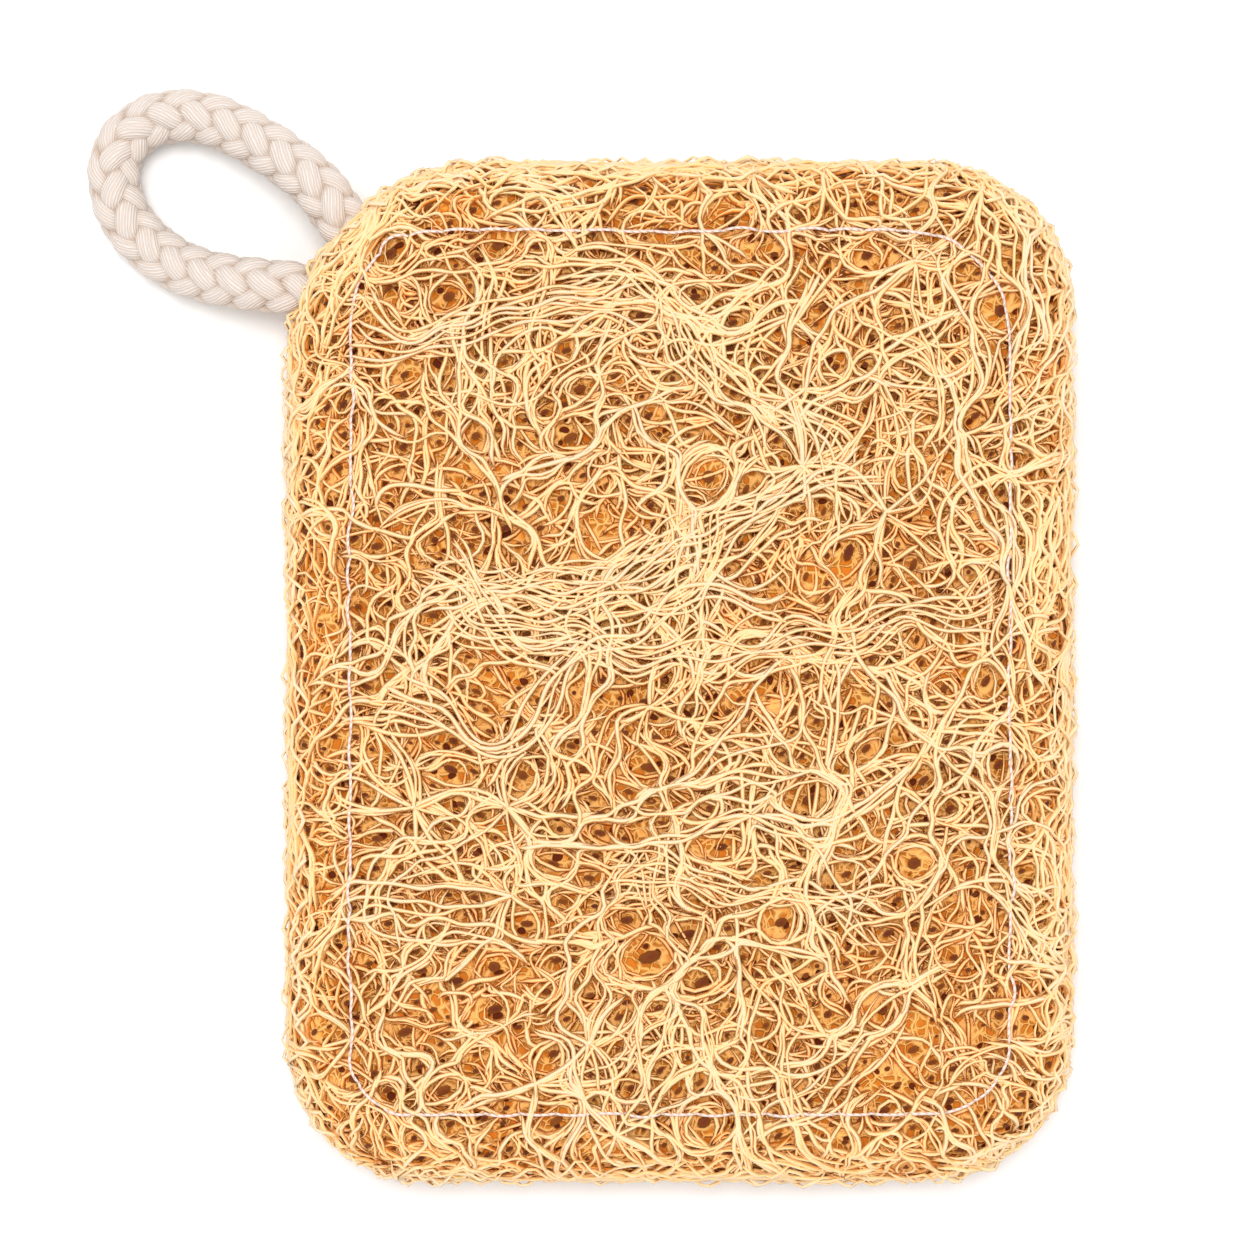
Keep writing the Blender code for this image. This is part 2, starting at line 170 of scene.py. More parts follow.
# Hanging loop, its route from one hidden end to the other, in millimetres
LOOP_DIAMETER = 0.0068
STRANDS_EACH_WAY = 6
STRAND_SIDES = 16
OVER_GROWTH = (0.12, 0.15)  # how much wider and higher a strand is where it lies on top
YARNS = 23  # round each of its strands
CORE_SHARE = 0.45  # of the cord's radius, below which the cotton has its deepest painted shade
LOOP_ROUTE_MM = [
    (-35.0, 49.2, 10.0),
    (-38.2, 52.4, 10.0),
    (-41.2, 55.5, 10.0),
    (-43.6, 58.5, 10.0),
    (-45.9, 61.6, 9.6),
    (-48.4, 63.9, 8.8),
    (-52.2, 66.7, 7.4),
    (-56.9, 69.4, 5.8),
    (-60.9, 70.9, 4.7),
    (-65.2, 71.2, 4.0),
    (-69.1, 69.9, 3.75),
    (-71.8, 67.0, 3.7),
    (-72.5, 63.6, 3.7),
    (-71.8, 59.9, 3.75),
    (-69.9, 56.6, 3.9),
    (-67.0, 53.8, 4.2),
    (-63.4, 51.6, 5.0),
    (-59.4, 50.3, 6.3),
    (-55.6, 49.6, 7.9),
    (-52.4, 49.2, 9.2),
    (-49.6, 48.9, 9.9),
    (-46.9, 48.2, 10.0),
    (-44.4, 46.6, 10.0),
    (-42.0, 44.2, 10.0),
    (-39.6, 41.8, 10.0),
]

# Seam: points and sides of the thread, how much single stitches differ in height and lean, and the power
# that rounds a stitch
POINTS_PER_STITCH = 8
THREAD_SIDES = 5
STITCH_BUMP = 0.0002
STITCH_LEAN = 0.00022
STITCH_ARCH = 0.45

# Photograph's framing: the point looked at and the width seen, at the height of the rim
VIEW_CENTRE = (-0.0067, 0.0057)
VIEW_WIDTH = 0.1597
CAMERA_DISTANCE = 0.85
SENSOR_WIDTH_MM = 36.0
KEY_TILT = (math.radians(-9), math.radians(-2), 0.0)
FLOOR_HALF = 1.5


def linear(hex_colour):
    """An sRGB hex colour as linear red, green, blue and alpha."""
    channels = [int(hex_colour[i : i + 2], 16) / 255 for i in (0, 2, 4)]
    return (*(c / 12.92 if c <= 0.04045 else ((c + 0.055) / 1.055) ** 2.4 for c in channels), 1.0)


def colour_property(name, description, hex_colour):
    return FloatVectorProperty(
        name=name, description=description, subtype="COLOR", size=4, min=0, max=1, default=linear(hex_colour)
    )


def length_property(name, description, default, least, most):
    return FloatProperty(
        name=name, description=description, default=default, min=least, max=most, unit="LENGTH", precision=5
    )


def share_property(name, description, default, least=0.0, most=1.0):
    return FloatProperty(
        name=name, description=description, default=default, min=least, max=most, subtype="FACTOR"
    )


# Geometry helpers


def from_rounded_rectangle(points, half, radii):
    """Distance outside a rounded rectangle (negative inside) and the direction straight out of it.

    Beyond a corner's centre both come from the vector to that centre, elsewhere from the nearer side.
    """
    sign = np.where(points < 0, -1.0, 1.0)
    radius = np.select(
        [(sign[..., 0] == sx) & (sign[..., 1] == sy) for sx, sy in radii], list(radii.values())
    )[..., None]
    over = np.abs(points) - (half - radius)
    beyond = np.maximum(over, 0.0)
    length = np.linalg.norm(beyond, axis=-1, keepdims=True)
    distance = length + np.minimum(over.max(axis=-1, keepdims=True), 0.0) - radius
    side = np.where(over[..., :1] > over[..., 1:], (1.0, 0.0), (0.0, 1.0))
    outward = np.where(length > 1e-9, beyond / np.maximum(length, 1e-9), side)
    return distance[..., 0], outward * sign


def outside(points):
    """Distance outside the flat layout's outline."""
    return from_rounded_rectangle(points, FLAT_HALF, FLAT_RADII)[0]


def roll_tables():
    """The rounded edge, a superellipse from face to rim: length along it, distance out, height and tilt."""
    turn = np.linspace(0.0, math.pi / 2, 400)
    out = ROLL_WIDTH * np.sin(turn) ** (2 / ROLL_POWER)
    up = THICKNESS / 2 * np.cos(turn) ** (2 / ROLL_POWER)
    lengths = np.concatenate([[0.0], np.cumsum(np.hypot(np.diff(out), np.diff(up)))])
    tilt = np.arctan2(-np.gradient(up, lengths), np.gradient(out, lengths))
    return lengths, out, up, tilt


ROLL_LENGTHS, ROLL_OUT, ROLL_UP, ROLL_TILT = roll_tables()
ROLL_LENGTH = ROLL_LENGTHS[-1]
FLAT_HALF = HALF_SIZE + (ROLL_LENGTH - ROLL_WIDTH)
FLAT_RADII = {corner: radius + ROLL_LENGTH - ROLL_WIDTH for corner, radius in CORNER_RADII.items()}


def wrap(flat, side, lift):
    """Places points of the flat layout, lift above the pad's surface, and gives the surface's normals.

    A point's distance from the layout's outline, less the length of the roll, says how far down the
    superellipse it lies; past the rim's middle the profile is followed back on the other face. Depths
    shrink towards the rim, where the fibres are pressed together.
    """
    distance, outward = from_rounded_rectangle(flat, FLAT_HALF, FLAT_RADII)
    down = np.clip(ROLL_LENGTH + distance, 0.0, 2 * ROLL_LENGTH)
    folded = np.minimum(down, 2 * ROLL_LENGTH - down)
    under = np.where(down > ROLL_LENGTH, -1.0, 1.0)
    out, up, tilt = (np.interp(folded, ROLL_LENGTHS, table) for table in (ROLL_OUT, ROLL_UP, ROLL_TILT))
    plan = flat + outward * (out - down)[..., None]
    from_seam = from_rounded_rectangle(plan, SEAM_HALF, SEAM_RADII)[0]
    dip = GROOVE_DEPTH * np.clip(1.0 - (from_seam / GROOVE_REACH) ** 2, 0.0, 1.0) ** 2
    lift = lift * np.where(lift < 0, 1.0 - RIM_SHALLOWING * folded / ROLL_LENGTH, 1.0)
    lift = lift - np.where(under > 0, dip, 0.0)
    normal = np.concatenate([outward * np.sin(tilt)[..., None], (side * under * np.cos(tilt))[..., None]], -1)
    height = PAD_LOW[2] + THICKNESS / 2 + side * under * up
    return np.concatenate([plan, height[..., None]], -1) + normal * lift[..., None], normal


def grain_angle(points):
    """Angle at which the fibres mainly run, swinging slowly over the pad."""
    x, y = points[..., 0] / GRAIN_WAVE, points[..., 1] / GRAIN_WAVE
    swing = np.sin(2.1 * x + 1.3 * np.sin(1.7 * y)) * np.cos(1.9 * y - 0.8 * x)
    return GRAIN_ANGLE + GRAIN_SWING * swing


def grain(points):
    angle = grain_angle(points)
    return np.stack([np.cos(angle), np.sin(angle)], -1)


def unit(vectors):
    return vectors / np.maximum(np.linalg.norm(vectors, axis=-1, keepdims=True), 1e-12)


def smooth_route(route, step):
    """Points about step apart on a Catmull-Rom curve through the route's points."""
    padded = np.concatenate([[2 * route[0] - route[1]], route, [2 * route[-1] - route[-2]]])
    t = np.linspace(0.0, 1.0, 12, endpoint=False)[None, :, None]
    a, b, c, d = (padded[i : len(padded) - 3 + i, None] for i in range(4))
    bend, twist = 2 * a - 5 * b + 4 * c - d, 3 * b - a - 3 * c + d
    curve = b + ((c - a) * t + bend * t**2 + twist * t**3) / 2
    curve = np.concatenate([curve.reshape(-1, 3), route[-1:]])
    along = np.concatenate([[0.0], np.cumsum(np.linalg.norm(np.diff(curve, axis=0), axis=1))])
    wanted = np.linspace(0.0, along[-1], round(along[-1] / step) + 1)
    return np.stack([np.interp(wanted, along, curve[:, k]) for k in range(3)], 1), along[-1]


def add_mesh(name, points, quads, caps, material, attributes):
    """A mesh object from whole arrays: points, four-cornered faces, end caps and named point attributes."""
    faces = [quads.reshape(-1, 4)] + ([caps] if len(caps) else [])
    corners = np.concatenate([f.ravel() for f in faces]).astype(np.int32)
    sizes = np.concatenate([np.full(len(f), f.shape[1]) for f in faces])
    mesh = bpy.data.meshes.new(name)
    mesh.vertices.add(len(points))
    mesh.vertices.foreach_set("co", points.astype(np.float32).ravel())
    mesh.loops.add(len(corners))
    mesh.loops.foreach_set("vertex_index", corners)
    mesh.polygons.add(len(sizes))
    mesh.polygons.foreach_set("loop_start", np.concatenate([[0], np.cumsum(sizes)[:-1]]).astype(np.int32))
    mesh.polygons.foreach_set("use_smooth", np.ones(len(sizes), bool))
    for key, values in attributes.items():
        kind, field = ("FLOAT", "value") if values.ndim == 1 else ("FLOAT_VECTOR", "vector")
        mesh.attributes.new(key, kind, "POINT").data.foreach_set(field, values.astype(np.float32).ravel())
    mesh.update(calc_edges=True)
    mesh.validate()
    mesh.materials.append(material)
    piece = bpy.data.objects.new(name, mesh)
    bpy.context.scene.collection.objects.link(piece)
    return piece


def dress(piece, node):
    """Lets a piece ride on the pad's one body and stand for a solid."""
    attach(piece, "root")
    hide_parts(node)
    return piece


def tubes(centre, outward, half_width, half_height, section, closed=False):
    """A section carried along each of several paths, flattened towards the surface, with its ends capped.

    Ring points are centre + across * x * half_width + above * y * half_height, where across is square to
    the path and the surface's outward direction, and (x, y) runs round the section.
    """
    if closed:
        tangent = unit(np.roll(centre, -1, 1) - np.roll(centre, 1, 1))
    else:
        tangent = unit(np.gradient(centre, axis=1))
    across = unit(np.cross(tangent, outward))
    above = np.cross(across, tangent)
    ring = (
        centre[:, :, None]
        + across[:, :, None] * (section[:, 0] * half_width[..., None])[..., None]
        + above[:, :, None] * (section[:, 1] * half_height[..., None])[..., None]
    )
    rows, length, sides = ring.shape[:3]
    index = np.arange(rows * length * sides).reshape(rows, length, sides)
    around = np.roll(index, -1, 2)
    if closed:
        after, after_around = np.roll(index, -1, 1), np.roll(around, -1, 1)
        quads = np.stack([index, after, after_around, around], -1)
        caps = np.zeros((0, sides), np.int64)
    else:
        quads = np.stack([index[:, :-1], index[:, 1:], around[:, 1:], around[:, :-1]], -1)
        caps = np.concatenate([index[:, 0], index[:, -1, ::-1]])
    return ring.reshape(-1, 3), quads, caps


def round_section(sides):
    """A regular polygon with one corner outermost."""
    turn = math.pi / 2 + 2 * math.pi * np.arange(sides) / sides
    return np.stack([np.cos(turn), np.sin(turn)], 1)


# Materials

MADE_MATERIALS = {}


def add_node(tree, kind, links=(), **settings):
    """Adds a node, sets its properties and its sockets' values, and links its inputs.

    A link's source is a socket, or a node that stands for its first output.
    """
    node = tree.nodes.new(kind)
    values = settings.pop("values", {})
    for key, value in settings.items():
        setattr(node, key, value)
    for key, value in values.items():
        node.inputs[key].default_value = value
    for key, source in dict(links).items():
        socket = source.outputs[0] if isinstance(source, bpy.types.Node) else source
        tree.links.new(socket, node.inputs[key])
    return node


def new_material(name):
    material = bpy.data.materials.new(name)
    material.use_nodes = True
    material.node_tree.nodes.clear()
    return material, material.node_tree


def finish_material(tree, links, values, height, strength, distance):
    """The material's shader, over a bump of a height that stands for a distance in metres."""
    bump = add_node(
        tree, "ShaderNodeBump", {"Height": height}, values={"Strength": strength, "Distance": distance}
    )
    shader = add_node(tree, "ShaderNodeBsdfPrincipled", {"Normal": bump, **links}, values=values)
    add_node(tree, "ShaderNodeOutputMaterial", {"Surface": shader})


def colour_ramp(tree, factor, stops):
    """A colour ramp over factor, with stops as {place: colour} from the lowest up."""
    ramp = add_node(tree, "ShaderNodeValToRGB", {"Fac": factor})
    elements = ramp.color_ramp.elements
    for place in list(stops)[2:]:
        elements.new(place)
    for element, (place, colour) in zip(elements, stops.items()):
        element.position = place
        element.color = tuple(colour)
    return ramp.outputs["Color"]


def loofah_fibre_material(settings):
    """Dried loofah fibre, retted and sun-bleached: straw pale and faintly waxy outside, darker deeper down.

    Depth under the surface picks the colour, deeper and redder further down as painted shade of the net's
    depths, and ending in the dark painted shadow of the pits. Blotches and each fibre's own tone shift it;
    a sine round the fibre, lowest on its ridge, adds painted shade on its flanks and leaves the ridge as a
    painted highlight; and nine streaks round the fibre run along it.
    """
    material, tree = new_material("netted_loofah_fibre")
    fibre = add_node(tree, "ShaderNodeAttribute", attribute_name="fibre")
    parts = add_node(tree, "ShaderNodeSeparateXYZ", {"Vector": fibre.outputs["Vector"]})
    depth = add_node(tree, "ShaderNodeAttribute", attribute_name="depth")
    place = add_node(tree, "ShaderNodeTexCoord")
    blotch = add_node(
        tree, "ShaderNodeTexNoise", {"Vector": place.outputs["Object"]},
        values={"Scale": 1 / FIBRE_BLOTCH, "Detail": 3.0},
    )
    shifted = add_node(
        tree, "ShaderNodeMath", {0: blotch.outputs["Fac"], 1: parts.outputs["Z"]}, operation="ADD"
    )
    shift = add_node(
        tree, "ShaderNodeMath", {0: shifted}, operation="MULTIPLY_ADD",
        values={1: settings.tone_spread, 2: -settings.tone_spread},
    )
    turned = add_node(
        tree, "ShaderNodeMath", {0: parts.outputs["Y"]}, operation="MULTIPLY", values={1: math.pi}
    )
    # Painted shade: the flanks get a deeper colour than the ridge, which is left as a painted highlight
    flank_painted_shade = add_node(tree, "ShaderNodeMath", {0: turned}, operation="SINE")
    tone_and_painted_shade = add_node(
        tree, "ShaderNodeMath", {0: flank_painted_shade, 2: shift}, operation="MULTIPLY_ADD",
        values={1: settings.painted_flank_shade},
    )
    level = add_node(tree, "ShaderNodeMath", {0: depth.outputs["Fac"], 1: tone_and_painted_shade}, operation="ADD")
    # Painted shade: colours grow deeper and redder with depth, ending in the dark painted shadow of the pits
    stops = {
        0.0: settings.pale, 0.15: settings.straw, 0.38: settings.golden, 0.66: settings.inner,
        1.0: settings.pit_shadow,
    }
    colour = colour_ramp(tree, level, stops)
    streak_place = add_node(
        tree, "ShaderNodeMapping", {"Vector": fibre.outputs["Vector"]}, values={"Scale": (0.6, 9.0, 40.0)}
    )
    streak = add_node(
        tree, "ShaderNodeTexNoise", {"Vector": streak_place.outputs["Vector"]},
        values={"Scale": 1.0, "Detail": 2.0},
    )
    values = {"Roughness": 0.62, "IOR": 1.45, "Specular IOR Level": 0.25, "Sheen Weight": 0.05}
    finish_material(tree, {"Base Color": colour}, values, streak.outputs["Fac"], 0.35, 0.1 * MM)
    return material


def loofah_heart_material(settings):
    """The matted middle of the gourd seen between the fibres: two nets of tan ribs round painted-shadow pits.

    The ribs are the walls of cells 2.4 and 1.3 mm wide, the pits lie about 2.5 mm apart, and noise bends
    both. The height is pits * (0.35 + 0.65 * ribs), and it picks the colour too, as painted shade: darker
    down on the cells' floors, dark painted shadow in the pits, lighter up on the ribs.
    """
    material, tree = new_material("matted_loofah_heart")
    place = add_node(tree, "ShaderNodeTexCoord")
    warp = add_node(
        tree, "ShaderNodeTexNoise", {"Vector": place.outputs["Object"]},
        values={"Scale": 1 / HEART_CELLS[0], "Detail": 1.0},
    )
    bent = add_node(
        tree, "ShaderNodeVectorMath", {0: warp.outputs["Color"], 2: place.outputs["Object"]},
        operation="MULTIPLY_ADD", values={1: (HEART_BEND, HEART_BEND, HEART_BEND)},
    )
    heights = []
    for feature, size, low, high, start, end in (
        ("DISTANCE_TO_EDGE", HEART_CELLS[0], 0.02, 0.17, 1.0, 0.0),
        ("DISTANCE_TO_EDGE", HEART_CELLS[1], 0.02, 0.20, 0.75, 0.0),
        ("F1", HEART_PIT_PITCH, 0.16, 0.25, 0.0, 1.0),
    ):
        cells = add_node(
            tree, "ShaderNodeTexVoronoi", {"Vector": bent.outputs["Vector"]}, feature=feature,
            values={"Scale": 1 / size},
        )
        height = add_node(
            tree, "ShaderNodeMapRange", {"Value": cells.outputs["Distance"]}, interpolation_type="SMOOTHSTEP",
            values={"From Min": low, "From Max": high, "To Min": start, "To Max": end},
        )
        heights.append(height.outputs["Result"])
    ribs = add_node(tree, "ShaderNodeMath", {0: heights[0], 1: heights[1]}, operation="MAXIMUM")
    raised = add_node(
        tree, "ShaderNodeMath", {0: ribs}, operation="MULTIPLY_ADD", values={1: 0.65, 2: 0.35}
    )
    level = add_node(tree, "ShaderNodeMath", {0: raised, 1: heights[2]}, operation="MULTIPLY")
    # Painted shade: the colour darkens from the ribs down to the cells' floors and the painted shadow of the
    # pits
    stops = {0.08: settings.pit_shadow, 0.34: settings.heart, 0.55: settings.skin, 0.90: settings.web}
    colour = colour_ramp(tree, level, stops)
    values = {"Roughness": 0.8, "IOR": 1.45, "Specular IOR Level": 0.2}
    finish_material(tree, {"Base Color": colour}, values, level, 1.0, 0.7 * MM)
    return material


def cotton_braid_material(settings):
    """Unbleached cotton yarn, soft spun and braided: matt off-white with painted shade down between lobes.

    Yarns run along each strand, as a sine of the place round it, with painted shade between them, and
    noise breaks them up. The lobes' flanks get painted shade too, deepest towards the cord's middle.
    """
    material, tree = new_material("braided_cotton_yarn")
    yarn = add_node(tree, "ShaderNodeAttribute", attribute_name="yarn")
    parts = add_node(tree, "ShaderNodeSeparateXYZ", {"Vector": yarn.outputs["Vector"]})
    # Painted shade: darker the nearer the cord's middle, on the lobes' flanks and down between the lobes
    stops = {0.44: settings.crevice_painted_shade, 0.68: settings.fold_painted_shade, 0.92: settings.cotton}
    colour = colour_ramp(tree, parts.outputs["Z"], stops)
    place = add_node(
        tree, "ShaderNodeMapping", {"Vector": yarn.outputs["Vector"]}, values={"Scale": (0.7, 12.0, 0.0)}
    )
    fuzz = add_node(
        tree, "ShaderNodeTexNoise", {"Vector": place.outputs["Vector"]}, values={"Scale": 1.0, "Detail": 2.0}
    )
    round_turns = add_node(
        tree, "ShaderNodeMath", {0: parts.outputs["Y"]}, operation="MULTIPLY",
        values={1: 2 * math.pi * YARNS},
    )
    shaken = add_node(
        tree, "ShaderNodeMath", {0: fuzz.outputs["Fac"], 2: round_turns}, operation="MULTIPLY_ADD",
        values={1: 7.0},
    )
    ridge = add_node(tree, "ShaderNodeMath", {0: shaken}, operation="SINE")
    # Painted shade in the grooves between the yarns
    line_shade = colour_ramp(tree, ridge, {0.0: linear("F1E4D9"), 0.6: linear("FFFFFF")})
    shaded = add_node(
        tree, "ShaderNodeMixRGB", {"Color1": colour, "Color2": line_shade},
        blend_type="MULTIPLY", values={"Fac": 0.8},
    )
    values = {"Roughness": 0.9, "IOR": 1.5, "Specular IOR Level": 0.1, "Sheen Weight": 0.08}
    finish_material(tree, {"Base Color": shaded}, values, ridge, 0.8, 0.06 * MM)
    return material


def sewing_thread_material(settings):
    """Spun two-ply sewing thread, pale with a rose tinge, a little glossy, its plies 0.6 mm apart."""
    material, tree = new_material("spun_sewing_thread")
    yarn = add_node(tree, "ShaderNodeAttribute", attribute_name="yarn")
    place = add_node(
        tree, "ShaderNodeMapping", {"Vector": yarn.outputs["Vector"]}, values={"Scale": (2.0, 2.0, 1.0)}
    )
    twist = add_node(
        tree, "ShaderNodeTexWave", {"Vector": place.outputs["Vector"]}, wave_type="BANDS",
        bands_direction="DIAGONAL", values={"Scale": 0.5},
    )
    colour = colour_ramp(tree, twist.outputs["Fac"], {0.1: settings.ply_shade, 0.6: settings.thread})
    values = {"Roughness": 0.55, "IOR": 1.5, "Specular IOR Level": 0.3, "Sheen Weight": 0.1}
    finish_material(tree, {"Base Color": colour}, values, twist.outputs["Fac"], 0.4, 0.1 * MM)
    return material


def floor_material(settings):
    """Matt white studio paper."""
    material, tree = new_material("studio_paper")
    place = add_node(tree, "ShaderNodeTexCoord")
    grit = add_node(
        tree, "ShaderNodeTexNoise", {"Vector": place.outputs["Object"]}, values={"Scale": 1 / PAPER_GRIT}
    )
    values = {"Base Color": tuple(settings.paper), "Roughness": 1.0}
    finish_material(tree, {}, values, grit.outputs["Fac"], 0.05, 0.1 * MM)
    return material


# Net of fibres


class Swirl:
    """A smooth random turn over the flat layout: the sum of six plane waves about one wavelength long.

    Its root mean square over the layout is strength.
    """

    WAVES = 6

    def __init__(self, wavelength, strength, random):
        heading = random.uniform(0.0, 2 * math.pi, self.WAVES)
        pace = 2 * math.pi / (wavelength * random.uniform(0.7, 1.6, self.WAVES))
        self.waves = np.stack([np.cos(heading) * pace, np.sin(heading) * pace])
        self.phase = random.uniform(0.0, 2 * math.pi, self.WAVES)
        self.strength = strength / math.sqrt(self.WAVES / 2)

    def turn(self, points):
        return self.strength * np.sin(points @ self.waves + self.phase).sum(-1)


class Spots:
    """Openings and knots of one face's net, kept apart, and a chart of which is nearest to each place.

    The net beneath another takes over that one's openings, smaller, and adds its own between them.
    """

    def __init__(self, groups, above, random):
        centres, radii, knots, stretch = np.zeros((0, 2)), np.zeros(0), np.zeros(0, bool), np.zeros(0)
        if above:
            centres, radii = above.centres[~above.knots], INNER_SHARE * above.radii[~above.knots]
            knots, stretch = np.zeros(len(radii), bool), above.stretch[~above.knots]
        for group in groups:
            for _ in range(group.number):
                tries = random.uniform(-1.0, 1.0, (SPOT_TRIES, 2)) * FLAT_HALF
                radius = group.least + (group.largest - group.least) * random.uniform() ** SMALL_BIAS
                gap = np.linalg.norm(tries[:, None] - centres, axis=-1) - SPOT_SPACING * (radii + radius)
                room = gap.min(1) if len(centres) else np.ones(SPOT_TRIES)
                free = np.flatnonzero((room > 0) & (outside(tries) < -group.inside))
                if len(free):
                    centres = np.concatenate([centres, tries[free[:1]]])
                    radii, knots = np.append(radii, radius), np.append(knots, group.knot)
        self.centres, self.radii, self.knots = centres, radii, knots
        self.along = grain(centres)
        added = random.uniform(1.0, 2.0, len(radii) - len(stretch))
        self.stretch = np.where(knots, 1.0, np.concatenate([stretch, added]))
        self.low = -FLAT_HALF - CHART_MARGIN
        counts = np.ceil(-2 * self.low / CHART_CELL).astype(int)
        places = np.stack(np.meshgrid(*(np.arange(n) for n in counts), indexing="ij"), -1) + 0.5
        places = (self.low + places * CHART_CELL).reshape(-1, 2)
        places, spots = places.astype(np.float32), centres.astype(np.float32)
        scale = (1 / radii).astype(np.float32)
        nearest = []
        for part in np.array_split(places, CHART_PARTS):
            across, up = part[:, :1] - spots[:, 0], part[:, 1:] - spots[:, 1]
            nearest.append((np.hypot(across, up) * scale).argmin(1))
        self.chart = np.concatenate(nearest).reshape(counts)

    def shape(self, points):
        """Points moved out of openings and gathered in knots.

        Where a point lies at share s of its spot's radius, less than the reach r, it goes along the line
        from the spot's centre to 1 + s (r - 1) / r of an opening's radius, or to r (s / r) to the power
        KNOT_PULL of a knot's. Spots are ellipses, longer along the grain by their stretch.
        """
        cell = ((points - self.low) / CHART_CELL).astype(int)
        cell = np.clip(cell, 0, np.array(self.chart.shape) - 1)
        which = self.chart[cell[..., 0], cell[..., 1]]
        along, stretch = self.along[which], self.stretch[which][..., None]
        apart = points - self.centres[which]
        lengthwise = (apart * along).sum(-1, keepdims=True) * along
        flattened = lengthwise / stretch + apart - lengthwise
        share = np.linalg.norm(flattened, axis=-1, keepdims=True) / self.radii[which][..., None]
        share = np.maximum(share, 0.05)
        knot = self.knots[which][..., None]
        opened = 1.0 / share + (OPENING_REACH - 1.0) / OPENING_REACH
        grown = np.where(knot, (share / KNOT_REACH) ** (KNOT_PULL - 1.0), opened)
        reach = np.where(knot, KNOT_REACH, OPENING_REACH)
        return np.where(share < reach, self.centres[which] + apart * grown, points)


def streams(count, cluster, steps, step, angle, swirls, random):
    """Paths of fibres that all follow one field of directions, from starts scattered in clusters.

    The direction at a place is the grain's angle there plus angle, plus the swirls' turns, plus each
    fibre's own small lean. A path that would run past the rim is held back and follows it.
    """
    starts = random.uniform(-1.0, 1.0, (count * 2, 2)) * FLAT_HALF
    starts = starts[outside(starts) < 0.0][:count]
    starts = np.repeat(starts, cluster, axis=0)
    starts = starts + random.normal(0.0, CLUSTER_SPREAD * (cluster > 1), starts.shape)
    lean = random.normal(0.0, FIBRE_LEAN, len(starts))
    path = [starts]
    for _ in range(steps):
        at = path[-1]
        turn = grain_angle(at) + angle + lean + sum(swirl.turn(at) for swirl in swirls)
        at = at + step * np.stack([np.cos(turn), np.sin(turn)], -1)
        distance, outward = from_rounded_rectangle(at, FLAT_HALF, FLAT_RADII)
        path.append(at - outward * np.maximum(distance - OVER_RIM, 0.0)[..., None])
    return np.stack(path, 1)


def shape_paths(paths, spots):
    """Paths led round the openings and through the knots, and smoothed in between and at the end.

    A smoothing takes each point but the ends to a half of itself and a quarter of either neighbour.
    """
    for smoothings in SMOOTHINGS:
        paths = spots.shape(paths)
        for _ in range(smoothings):
            paths[:, 1:-1] = (paths[:, :-2] + 2 * paths[:, 1:-1] + paths[:, 2:]) / 4
    return paths


def steps_from_end(length):
    """For each point of a path with this many points, how many steps it is from the nearer end."""
    return np.minimum(np.arange(length), np.arange(length)[::-1])


def random_waves(along, wavelengths, shape, random):
    """Sines along paths, each with a wavelength between the two given and its own phase."""
    pace = 2 * math.pi / random.uniform(*wavelengths, shape)
    return np.sin(pace * along + random.uniform(0.0, 2 * math.pi, shape))


def woven_depth(shape, step, depth_range, weave, dive, random):
    """Depths along paths: each has its own, rises and falls by weave as two sines, and dives at its ends."""
    count, length = shape
    waves = random_waves(np.arange(length) * step, (0.0032, 0.0075), (2, count, 1), random).sum(0)
    ends = dive * np.clip(1.0 - steps_from_end(length) / 3.0, 0.0, 1.0) ** 2
    return random.uniform(*depth_range, (count, 1)) + weave * waves + ends


def fibre_arrays(paths, depth, width, side, least, random):
    """Points, faces and attributes of tapered fibres along flat paths, no less than least deep."""
    depth = np.maximum(depth, least)
    place, outward = wrap(paths, side, -depth)
    count, length = depth.shape
    taper = np.clip(0.2 + 0.4 * steps_from_end(length), 0.0, 1.0)
    thick = width / 2 * random.uniform(*FIBRE_SPREAD, (count, 1)) * taper
    points, quads, caps = tubes(place, outward, thick, FIBRE_FLATNESS * thick, round_section(FIBRE_SIDES))
    steps = np.linalg.norm(np.diff(place, axis=1), axis=-1).cumsum(1) / MM
    along = np.concatenate([np.zeros((count, 1)), steps], 1)
    tone = random.uniform(0.0, 1.0, (count, 1)) * np.ones((1, length))
    about = np.tile(np.arange(FIBRE_SIDES) / FIBRE_SIDES, count * length)
    along, tone, depth = (np.repeat(values.ravel(), FIBRE_SIDES) for values in (along, tone, depth))
    return points, quads, caps, np.stack([along, about, tone], 1), depth


def join_arrays(parts):
    """Several fibre_arrays results as one, with the faces' indices moved on."""
    shift, quads, caps = 0, [], []
    for part in parts:
        quads.append(part[1].reshape(-1, 4) + shift)
        caps.append(part[2] + shift)
        shift += len(part[0])
    points, fibre, depth = (np.concatenate([part[k] for part in parts]) for k in (0, 3, 4))
    return points, np.concatenate(quads), np.concatenate(caps), fibre, depth


def add_fibres(name, parts, settings):
    """A fibre mesh from fibre_arrays results, riding on the pad's body and standing for the pad."""
    points, quads, caps, fibre, depth = join_arrays(parts)
    material = shared_material(loofah_fibre_material, settings)
    piece = add_mesh(name, points, quads, caps, material, {"fibre": fibre, "depth": depth / COLOUR_DEPTH})
    return dress(piece, "loofah_pad")


def shared_material(make, settings):
    """The material that this function makes, made the first time that it is asked for."""
    if make not in MADE_MATERIALS:
        MADE_MATERIALS[make] = make(settings)
    return MADE_MATERIALS[make]


